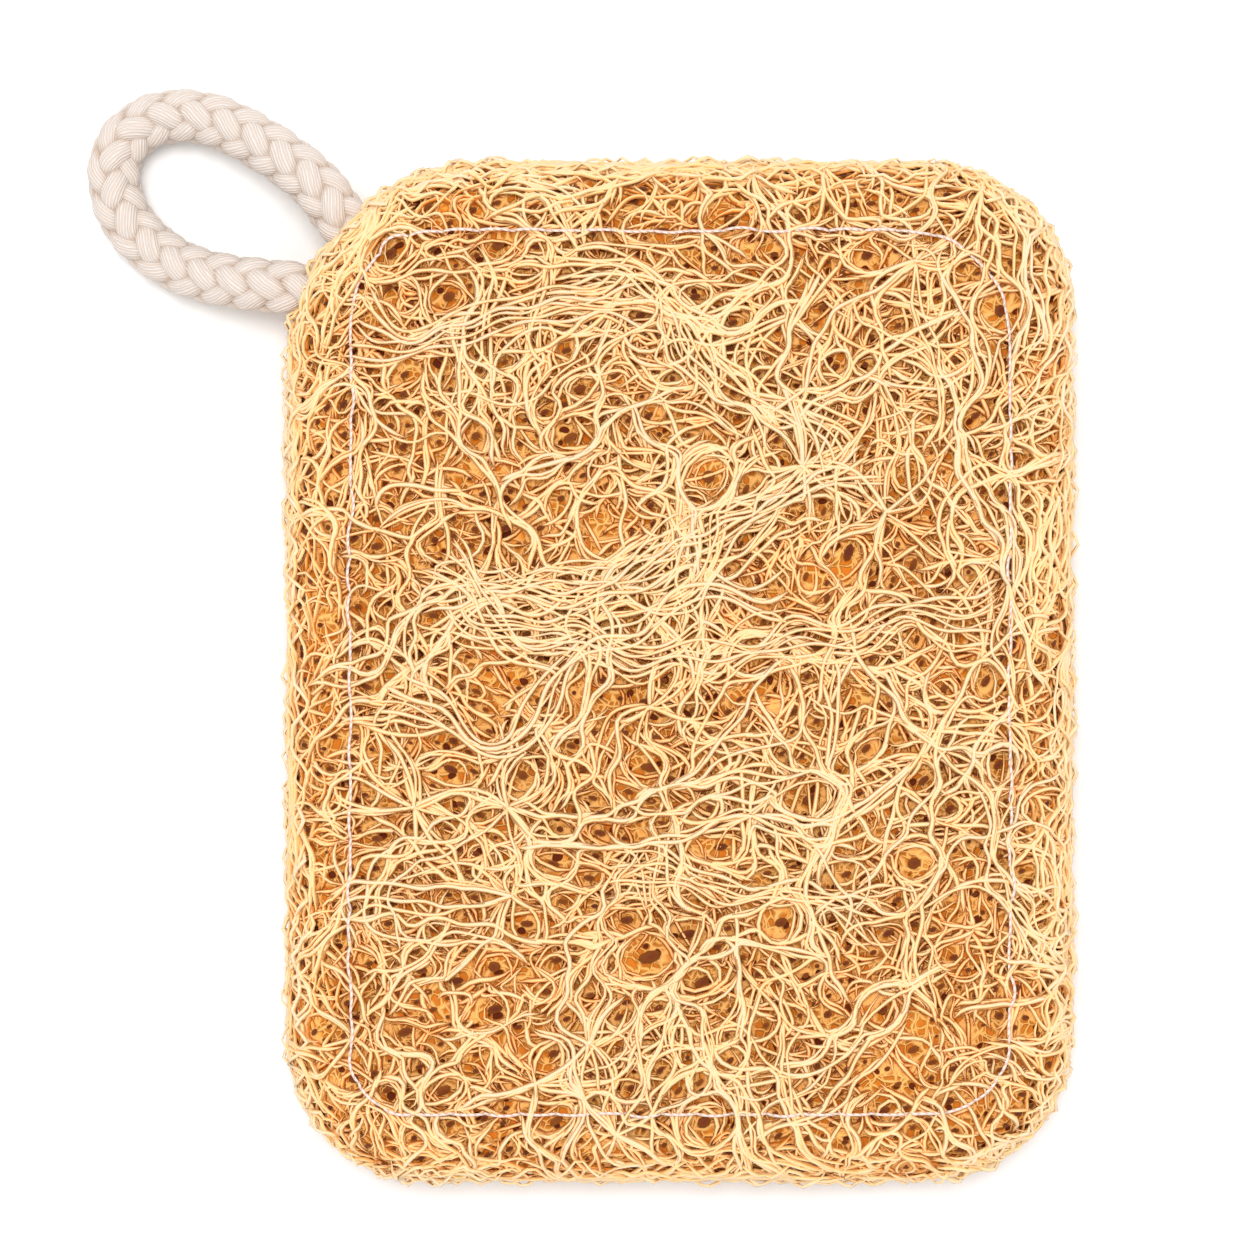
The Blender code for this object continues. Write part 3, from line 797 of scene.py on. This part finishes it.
def layer_arrays(layer, side, density, width, spots, random):
    """Fibre arrays of one layer of the net: a stream of fibres for each of the layer's angles."""
    parts = []
    for angle in layer.angles:
        swirls = [Swirl(wavelength, strength, random) for wavelength, strength in layer.swirls]
        count = int(layer.fibres * density / len(layer.angles) / layer.cluster)
        paths = streams(count, layer.cluster, layer.steps, layer.step, angle, swirls, random)
        paths = shape_paths(paths, spots)
        depth = woven_depth(paths.shape[:2], layer.step, layer.depth, layer.weave, layer.dive, random)
        parts.append(fibre_arrays(paths, depth, width * layer.width, side, LEAST_DEPTH[side], random))
    return parts


def band_arrays(routes, width, random):
    """Fibre arrays of the front's bands: fibres side by side along each route of (x, y) in millimetres.

    The gaps open and close along the band by chance, and the fibres fan out and dive at its ends.
    """
    parts = []
    for strands, route in routes:
        flat = np.array([(x, y, 0.0) for x, y in route]) * MM
        middle = smooth_route(flat, BAND_STEP)[0][:, :2]
        length = len(middle)
        travel = unit(np.gradient(middle, axis=0))
        sideways = np.stack([-travel[:, 1], travel[:, 0]], -1)
        sway = Swirl(0.011, 1.0, random).turn(middle)
        fan = np.clip(1.0 - steps_from_end(length) / 9.0, 0.0, 1.0) ** 2
        rank = (np.arange(strands) - (strands - 1) / 2)[:, None] + random.normal(0.0, 0.25, (strands, 1))
        own = random_waves(np.arange(length) * BAND_STEP, (0.006, 0.013), (strands, 1), random)
        aside = (rank * (1.0 + 0.3 * sway + 1.8 * fan) + 0.55 * own) * BAND_PITCH
        aside = aside + 0.0012 * Swirl(0.017, 1.0, random).turn(middle)
        paths = middle + sideways * aside[..., None]
        depth = woven_depth(paths.shape[:2], BAND_STEP, (-0.0001, 0.0005), 0.00022, 0.0016, random)
        parts.append(fibre_arrays(paths, depth, width, 1, LEAST_DEPTH[1], random))
    return parts


def along_rounded_rectangle(half, radii, count):
    """count points evenly spaced round a rounded rectangle, anticlockwise from the right side's top."""
    turn = np.linspace(0.0, math.pi / 2, 25)
    arcs = []
    for quarter, (sx, sy) in enumerate([(1, 1), (-1, 1), (-1, -1), (1, -1)]):
        radius = radii[sx, sy]
        angle = turn + quarter * math.pi / 2
        centre = np.array([sx, sy]) * (half - radius)
        arcs.append(centre + radius * np.stack([np.cos(angle), np.sin(angle)], 1))
    outline = np.concatenate([*arcs, arcs[0][:1]])
    lengths = np.concatenate([[0.0], np.cumsum(np.linalg.norm(np.diff(outline, axis=0), axis=1))])
    wanted = np.arange(count) / count * lengths[-1]
    return np.stack([np.interp(wanted, lengths, outline[:, k]) for k in range(2)], 1)


def rim_arrays(count, width, side, random):
    """Fibre arrays of the loose curly fibres that run round the rim and stand a little out of it.

    Each takes steps of about 1 mm along the outline, waving across it and up and down as sines.
    """
    steps, slots_round = 18, 460
    ring = along_rounded_rectangle(FLAT_HALF, FLAT_RADII, slots_round)
    start = random.integers(0, slots_round, (count, 1))
    way = random.choice((-1, 1), (count, 1))
    slots = (start + way * np.arange(steps)) % slots_round
    outward = from_rounded_rectangle(ring, FLAT_HALF, FLAT_RADII)[1][slots]
    wave = random_waves(np.arange(steps) * RIM_STEP, (0.004, 0.011), (count, 1), random)
    drift = random.uniform(-0.007, 0.0022, (count, 1)) + random.uniform(0.0005, 0.002, (count, 1)) * wave
    paths = ring[slots] + outward * drift[..., None]
    depth = woven_depth((count, steps), RIM_STEP, (-0.0002, 0.0008), 0.0004, 0.0012, random)
    return fibre_arrays(paths, depth, width, side, LEAST_RIM_DEPTH, random)


def heart_rings(depth, rings, around):
    """Rings of points over both faces of the pad, depth below them, from the middle to the rim and back.

    The depth swells and sinks by 0.5 mm as sines of the place, so the heart looks lumpy.
    """
    ring = along_rounded_rectangle(FLAT_HALF, FLAT_RADII, around)
    share = np.linspace(0.04, 1.0, rings)[:, None, None]
    flat = ring * share
    lumps = np.sin(flat[..., 0] / 0.0023) * np.sin(flat[..., 1] / 0.0019 + 1.0)
    lumps = lumps + np.sin((flat[..., 0] + flat[..., 1]) / 0.0041)
    front, back = (wrap(flat, side, HEART_LUMP * lumps - depth)[0] for side in (1, -1))
    return np.concatenate([front, back[-2::-1]])


def make_heart(settings):
    """The matted heart: its rings joined by quads, and closed by a cap at the middle of each face."""
    rings = heart_rings(settings.heart_depth, *HEART_GRID)
    count, around = rings.shape[:2]
    index = np.arange(count * around).reshape(count, around)
    beside = np.roll(index, -1, 1)
    quads = np.stack([index[:-1], index[1:], beside[1:], beside[:-1]], -1)
    caps = np.stack([index[0], index[-1, ::-1]])
    material = shared_material(loofah_heart_material, settings)
    piece = add_mesh("loofah_heart", rings.reshape(-1, 3), quads, caps, material, {})
    return dress(piece, "loofah_pad")


def make_pit_shadows(name, spots, side, settings):
    """Bowls at the bottom of the openings, each closed underneath, dark with painted shadow.

    A bowl's edge is a ring of corners on an ellipse, pit_share of its opening's size. Triangles join it to
    a middle that lies deeper and, underneath, to one that lies deeper still.
    """
    kept = ~spots.knots
    centre, along = spots.centres[kept][:, None], spots.along[kept][:, None]
    across = np.stack([-along[..., 1], along[..., 0]], -1)
    radius, stretch = settings.pit_share * spots.radii[kept], spots.stretch[kept]
    turn = (2 * math.pi * np.arange(PIT_SIDES) / PIT_SIDES)[:, None]
    ring = np.cos(turn) * stretch[:, None, None] * along + np.sin(turn) * across
    flat = np.concatenate([centre + radius[:, None, None] * ring, centre, centre], 1)
    count, points = flat.shape[:2]
    depth = settings.pit_depth + np.array([0.0] * PIT_SIDES + [*PIT_BOWL])
    place = wrap(flat, side, -np.tile(depth, (count, 1)))[0]
    first = points * np.arange(count)[:, None]
    index = first + np.arange(PIT_SIDES)
    beside = np.roll(index, -side, 1)
    over, under = (np.repeat(first + PIT_SIDES + k, PIT_SIDES, axis=1) for k in (0, 1))
    corners = np.concatenate([np.stack([index, beside, over], -1), np.stack([beside, index, under], -1)])
    values = {
        "fibre": np.tile([0.0, 0.0, 0.5], (points * count, 1)),
        # Painted shadow: the bowls take the darkest end of the fibres' colour ramp
        "depth": np.tile(np.repeat(PIT_SHADOW_LEVELS, [PIT_SIDES, 2]), count),
    }
    material = shared_material(loofah_fibre_material, settings)
    no_quads = np.zeros((0, 4), np.int64)
    piece = add_mesh(name, place.reshape(-1, 3), no_quads, corners.reshape(-1, 3), material, values)
    return dress(piece, "loofah_pad")


# Hanging loop and seam


def make_hanging_loop(settings):
    """Twelve strands braided two over two along the loop's route.

    At distance s strand i of the six that turn one way lies at angle w s + i 60 degrees, strand j of
    the others at -w s + j 60 + 30 degrees. All rise and dive three times a turn, as a cosine of three
    times the angle less 30 degrees, one kind up where the other is down.
    """
    route = np.array(LOOP_ROUTE_MM) * MM
    path, length = smooth_route(route, settings.ring_step)
    along = np.linspace(0.0, length, len(path))
    tangent = unit(np.gradient(path, axis=0))
    side = unit(np.cross(tangent, (0.0, 0.0, 1.0)))
    above = np.cross(side, tangent)
    turning = 2 * math.pi / settings.lay * along
    start = np.arange(STRANDS_EACH_WAY)[:, None] * 2 * math.pi / STRANDS_EACH_WAY
    half_gap = math.pi / STRANDS_EACH_WAY
    angle = np.concatenate([turning + start, start + half_gap - turning])
    over = np.cos(STRANDS_EACH_WAY / 2 * (angle - half_gap))
    over = over * np.repeat([1.0, -1.0], STRANDS_EACH_WAY)[:, None]
    radius = settings.weave_radius + settings.weave_height * over
    outward = np.cos(angle)[..., None] * side + np.sin(angle)[..., None] * above
    centre = path + radius[..., None] * outward
    half_width = settings.strand_width / 2 * (1.0 + OVER_GROWTH[0] * over)
    half_height = settings.strand_height / 2 * (1.0 + OVER_GROWTH[1] * over)
    section = -round_section(STRAND_SIDES)
    points, quads, caps = tubes(centre, outward, half_width, half_height, section)
    lengthwise = np.repeat(np.tile(along / MM, len(angle)), STRAND_SIDES)
    about = np.tile(np.arange(STRAND_SIDES) / STRAND_SIDES, angle.size)
    about = about + np.repeat(np.arange(len(angle)), len(path) * STRAND_SIDES)
    from_axis = np.linalg.norm(points.reshape(*angle.shape, STRAND_SIDES, 3) - path[:, None], axis=-1)
    # Height from the cord's middle, which picks the painted shade of the cotton
    height = (from_axis.ravel() / (LOOP_DIAMETER / 2) - CORE_SHARE) / (1.0 - CORE_SHARE)
    yarn = np.stack([lengthwise, about, np.clip(height, 0.0, 1.0)], 1)
    material = shared_material(cotton_braid_material, settings)
    piece = add_mesh("hanging_loop_braid", points, quads, caps, material, {"yarn": yarn})
    dress(piece, "hanging_loop")
    return piece


def surface_at(plan, side, lift):
    """Points lift above the smooth pad over places seen from above, and the surface's normals."""
    distance, outward = from_rounded_rectangle(plan, HALF_SIZE, CORNER_RADII)
    out = np.maximum(ROLL_WIDTH + distance, 0.0)
    up, tilt = (np.interp(out, ROLL_OUT, table) for table in (ROLL_UP, ROLL_TILT))
    height = PAD_LOW[2] + THICKNESS / 2 + side * up
    normal = np.concatenate([outward * np.sin(tilt)[..., None], (side * np.cos(tilt))[..., None]], -1)
    return np.concatenate([plan, height[..., None]], -1) + normal * lift[..., None], normal


def make_seam_thread(name, node, side, settings):
    """One thread of the lockstitch seam: a closed ring that dives into the pad between stitches.

    Over a stitch the thread's lift is the groove's floor plus an arch, a rounded sine that falls
    steeply at both ends, and each stitch leans aside a little by chance.
    """
    random = np.random.default_rng(settings.seed + (side > 0))
    count = settings.stitches * POINTS_PER_STITCH
    plan = along_rounded_rectangle(SEAM_HALF, SEAM_RADII, count)
    outward = from_rounded_rectangle(plan, SEAM_HALF, SEAM_RADII)[1]
    bow = np.sin(math.pi * (np.arange(count) % POINTS_PER_STITCH) / POINTS_PER_STITCH)
    bump, lean = (
        np.repeat(random.normal(0.0, spread, settings.stitches), POINTS_PER_STITCH)
        for spread in (STITCH_BUMP, STITCH_LEAN)
    )
    plan = plan + outward * (lean * bow)[:, None]
    lift = -GROOVE_DEPTH - settings.dive + (settings.dive + settings.rise + bump) * bow**STITCH_ARCH
    place, normal = surface_at(plan, side, lift)
    thick = np.full((1, count), settings.thread_width / 2)
    section = round_section(THREAD_SIDES)
    points, quads, caps = tubes(place[None], normal[None], thick, thick, section, closed=True)
    steps = np.repeat(np.arange(count) * settings.thread_width, THREAD_SIDES) / MM
    about = np.tile(np.arange(THREAD_SIDES) / THREAD_SIDES, count)
    material = shared_material(sewing_thread_material, settings)
    yarn = np.stack([steps, about, np.zeros(len(steps))], 1)
    piece = add_mesh(name, points, quads, caps, material, {"yarn": yarn})
    return dress(piece, node)


# Settings


class LoofahFibreSettings(bpy.types.PropertyGroup):
    width: length_property("Fibre width", "Width of a fibre", 0.00062, 0.0002, 0.002)
    density: share_property("Density", "Number of fibres, as a share of the usual number", 1.0, 0.1, 1.3)
    back_density: share_property("Density of the back", "The same for the back", 0.40, 0.1, 1.3)
    rim_fibres: IntProperty(
        name="Rim fibres", description="Loose fibres round the rim on each side", default=240, min=0, max=400
    )
    heart_depth: length_property(
        "Heart depth", "Depth of the matted heart under the faces", 0.0021, 0.001, 0.008
    )
    pit_depth: length_property("Pit depth", "Depth of the pits' edges under the faces", 0.0013, 0.001, 0.008)
    pit_share: share_property("Pit share", "Size of a pit as a share of its opening's", 0.45, 0.1, 2.0)
    tone_spread: share_property("Tone spread", "How much fibres differ in tone", 0.16)
    # Painted shade on a fibre's flanks, which leaves its ridge as a painted highlight
    painted_flank_shade: share_property(
        "Flank shade", "How much deeper in tone a fibre's flanks are than its ridge", 0.37
    )
    seed: IntProperty(name="Seed", description="Start of the random draws", default=11, min=0)
    # Fibre colours from the outermost down: deeper and redder further in, as painted shade of the net's
    # depths
    pale: colour_property("Pale fibre", "Colour of the outermost fibres", "F1D7B7")
    straw: colour_property("Straw fibre", "Colour of fibres about 0.7 mm down", "FBD9A8")
    golden: colour_property("Golden fibre", "Colour of fibres about 1.9 mm down", "FDCF8B")
    inner: colour_property("Inner fibre", "Colour of the deepest fibres", "E68822")
    # Heart colours from the ribs down: webs on the ribs, skin on their sides, painted shade on the floors
    # round the pits
    web: colour_property("Heart webs", "Colour of the webs between the heart's pits", "FCBC6A")
    skin: colour_property("Heart skin", "Colour of the matted heart", "F09C3C")
    heart: colour_property("Heart shade", "Colour of the heart beside its pits", "CE7018")
    # Painted shadow: the dark of the deep holes, in the heart's pits and in the bowls of the openings
    pit_shadow: colour_property("Heart pits", "Colour of the pits in the heart", "622204")


class LoofahLoopSettings(bpy.types.PropertyGroup):
    lay: length_property("Lay", "Length in which a strand goes once round the cord", 0.0265, 0.01, 0.1)
    strand_width: length_property("Strand width", "Width of a strand", 0.0029, 0.0005, 0.005)
    strand_height: length_property(
        "Strand height", "Height of a strand across the cord", 0.0025, 0.0003, 0.004
    )
    weave_radius: length_property(
        "Weave radius", "Mean distance of the strands from the cord's middle", 0.00150, 0.001, 0.005
    )
    weave_height: length_property(
        "Weave height", "How far strands rise over and dive under one another", 0.00075, 0.0, 0.002
    )
    ring_step: length_property(
        "Ring step", "Length between a strand's rings of points", 0.00065, 0.0002, 0.002
    )
    cotton: colour_property("Cotton", "Colour of the cotton on top of the lobes", "E0D8D2")
    # Painted shade on the lobes' flanks and down between the lobes
    fold_painted_shade: colour_property("Cotton fold", "Colour of the cotton on the lobes' flanks", "CDBCAE")
    crevice_painted_shade: colour_property("Cotton crevice", "Colour of the cotton between the lobes", "7E4E2A")


class LoofahThreadSettings(bpy.types.PropertyGroup):
    stitches: IntProperty(name="Stitches", description="Stitches round the pad", default=84, min=20, max=200)
    thread_width: length_property(
        "Thread width", "Diameter of the sewing thread", 0.00038, 0.0002, 0.002
    )
    rise: length_property(
        "Rise", "Height of a stitch's middle over the floor of the groove", 0.0001, -0.001, 0.002
    )
    dive: length_property(
        "Dive", "Depth of a stitch's ends under the floor of the groove", 0.0009, 0.0, 0.003
    )
    seed: IntProperty(name="Seed", description="Start of the random draws", default=5, min=0)
    thread: colour_property("Thread", "Colour of the thread", "F0E2DA")
    ply_shade: colour_property("Ply shade", "Colour between the thread's plies", "D2AC98")


class LoofahStageSettings(bpy.types.PropertyGroup):
    paper: colour_property("Paper", "Colour of the floor", "F6F6F6")
    sky: FloatProperty(
        name="Sky light", description="Strength of the even light from all round", default=0.95, min=0.0,
        max=5.0,
    )
    key: FloatProperty(
        name="Key light", description="Strength of the key light", default=1.7, min=0.0, max=20.0
    )
    key_softness: FloatProperty(
        name="Key softness", description="Angle over which the key light is spread",
        default=math.radians(22), min=0.0, max=math.radians(90), subtype="ANGLE",
    )


# Operators


class LOOFAH_OT_stage(bpy.types.Operator):
    """Makes the paper floor, the soft light and the camera straight above the pad"""

    bl_idname = "loofah.stage"
    bl_label = "Stage"

    def execute(self, context):
        settings = context.scene.loofah_stage
        scene = context.scene
        camera_data = bpy.data.cameras.new("camera")
        camera_data.sensor_width = SENSOR_WIDTH_MM
        camera_data.lens = SENSOR_WIDTH_MM * CAMERA_DISTANCE / VIEW_WIDTH
        camera = bpy.data.objects.new("camera", camera_data)
        camera.location = (*VIEW_CENTRE, PAD_LOW[2] + THICKNESS / 2 + CAMERA_DISTANCE)
        scene.collection.objects.link(camera)
        scene.camera = camera
        lamp_data = bpy.data.lights.new("key", "SUN")
        lamp_data.energy = settings.key
        lamp_data.angle = settings.key_softness
        lamp = bpy.data.objects.new("key", lamp_data)
        lamp.rotation_euler = KEY_TILT
        scene.collection.objects.link(lamp)
        world = bpy.data.worlds.new("studio")
        world.use_nodes = True
        background = world.node_tree.nodes["Background"]
        background.inputs["Color"].default_value = (1.0, 1.0, 1.0, 1.0)
        background.inputs["Strength"].default_value = settings.sky
        scene.world = world
        scene.view_settings.view_transform = "Standard"
        corners = FLOOR_HALF * np.array([(-1, -1, 0), (1, -1, 0), (1, 1, 0), (-1, 1, 0)])
        floor = add_mesh("floor", corners, np.array([[0, 1, 2, 3]]), [], floor_material(settings), {})
        return {"FINISHED"}


class LOOFAH_OT_hanging_loop(bpy.types.Operator):
    """Makes the braided cotton loop"""

    bl_idname = "loofah.hanging_loop"
    bl_label = "Hanging loop"

    def execute(self, context):
        make_hanging_loop(context.scene.loofah_loop)
        return {"FINISHED"}


class LOOFAH_OT_heart(bpy.types.Operator):
    """Makes the matted heart seen deep between the fibres"""

    bl_idname = "loofah.heart"
    bl_label = "Heart"

    def execute(self, context):
        make_heart(context.scene.loofah_fibre)
        return {"FINISHED"}


class LOOFAH_OT_nets(bpy.types.Operator):
    """Makes the layers of netted fibre on both faces"""

    bl_idname = "loofah.nets"
    bl_label = "Fibre nets"

    def execute(self, context):
        settings = context.scene.loofah_fibre
        for word, side, density in (("front", 1, settings.density), ("back", -1, settings.back_density)):
            random = np.random.default_rng(settings.seed + side)
            spots, above = {}, None
            for name, groups in SPOT_GROUPS.items():
                spots[name] = above = Spots(groups, above, random)
            # Bowls coloured dark as painted shadow at the bottom of the openings
            make_pit_shadows(f"{word}_pits", spots["close"], side, settings)
            for name, layer in LAYERS.items():
                parts = layer_arrays(layer, side, density, settings.width, spots[layer.spots], random)
                add_fibres(f"{word}_{name}", parts, settings)
        return {"FINISHED"}


class LOOFAH_OT_bands(bpy.types.Operator):
    """Makes the bands of side-by-side fibres that cross the front"""

    bl_idname = "loofah.bands"
    bl_label = "Front bands"

    def execute(self, context):
        settings = context.scene.loofah_fibre
        random = np.random.default_rng(settings.seed + 7)
        add_fibres("front_bands", band_arrays(FRONT_BANDS_MM, settings.width, random), settings)
        return {"FINISHED"}


class LOOFAH_OT_rim(bpy.types.Operator):
    """Makes the loose curly fibres round the rim"""

    bl_idname = "loofah.rim"
    bl_label = "Rim fibres"

    def execute(self, context):
        settings = context.scene.loofah_fibre
        random = np.random.default_rng(settings.seed + 3)
        arrays = [rim_arrays(settings.rim_fibres, settings.width, side, random) for side in (1, -1)]
        add_fibres("rim_fibres", arrays, settings)
        return {"FINISHED"}


class LOOFAH_OT_seam(bpy.types.Operator):
    """Makes the needle thread on the front and the bobbin thread on the back"""

    bl_idname = "loofah.seam"
    bl_label = "Seam threads"

    def execute(self, context):
        settings = context.scene.loofah_thread
        make_seam_thread("front_seam_thread", "needle_thread_front", 1, settings)
        make_seam_thread("back_seam_thread", "bobbin_thread_back", -1, settings)
        return {"FINISHED"}


OPERATORS = (
    LOOFAH_OT_stage,
    LOOFAH_OT_hanging_loop,
    LOOFAH_OT_heart,
    LOOFAH_OT_nets,
    LOOFAH_OT_bands,
    LOOFAH_OT_rim,
    LOOFAH_OT_seam,
)


class LOOFAH_PT_panel(bpy.types.Panel):
    """Sidebar panel of the pad's settings and operators"""

    bl_idname = "LOOFAH_PT_panel"
    bl_label = "Loofah pad"
    bl_space_type = "VIEW_3D"
    bl_region_type = "UI"
    bl_category = "Loofah"

    def draw(self, context):
        layout = self.layout
        for group_name in SETTINGS:
            box = layout.box()
            group = getattr(context.scene, group_name)
            for key in group.__annotations__:
                box.prop(group, key)
        for operator in OPERATORS:
            layout.operator(operator.bl_idname)


SETTINGS = {
    "loofah_fibre": LoofahFibreSettings,
    "loofah_loop": LoofahLoopSettings,
    "loofah_thread": LoofahThreadSettings,
    "loofah_stage": LoofahStageSettings,
}
CLASSES = (*SETTINGS.values(), *OPERATORS, LOOFAH_PT_panel)


def register():
    for kind in CLASSES:
        bpy.utils.register_class(kind)
    for name, group in SETTINGS.items():
        setattr(bpy.types.Scene, name, PointerProperty(type=group))


def unregister():
    for name in SETTINGS:
        delattr(bpy.types.Scene, name)
    for kind in reversed(CLASSES):
        bpy.utils.unregister_class(kind)


def main():
    register()
    bpy.ops.loofah.stage()
    bpy.ops.loofah.hanging_loop()
    bpy.ops.loofah.heart()
    bpy.ops.loofah.nets()
    bpy.ops.loofah.bands()
    bpy.ops.loofah.rim()
    bpy.ops.loofah.seam()


if __name__ == "__main__":
    main()
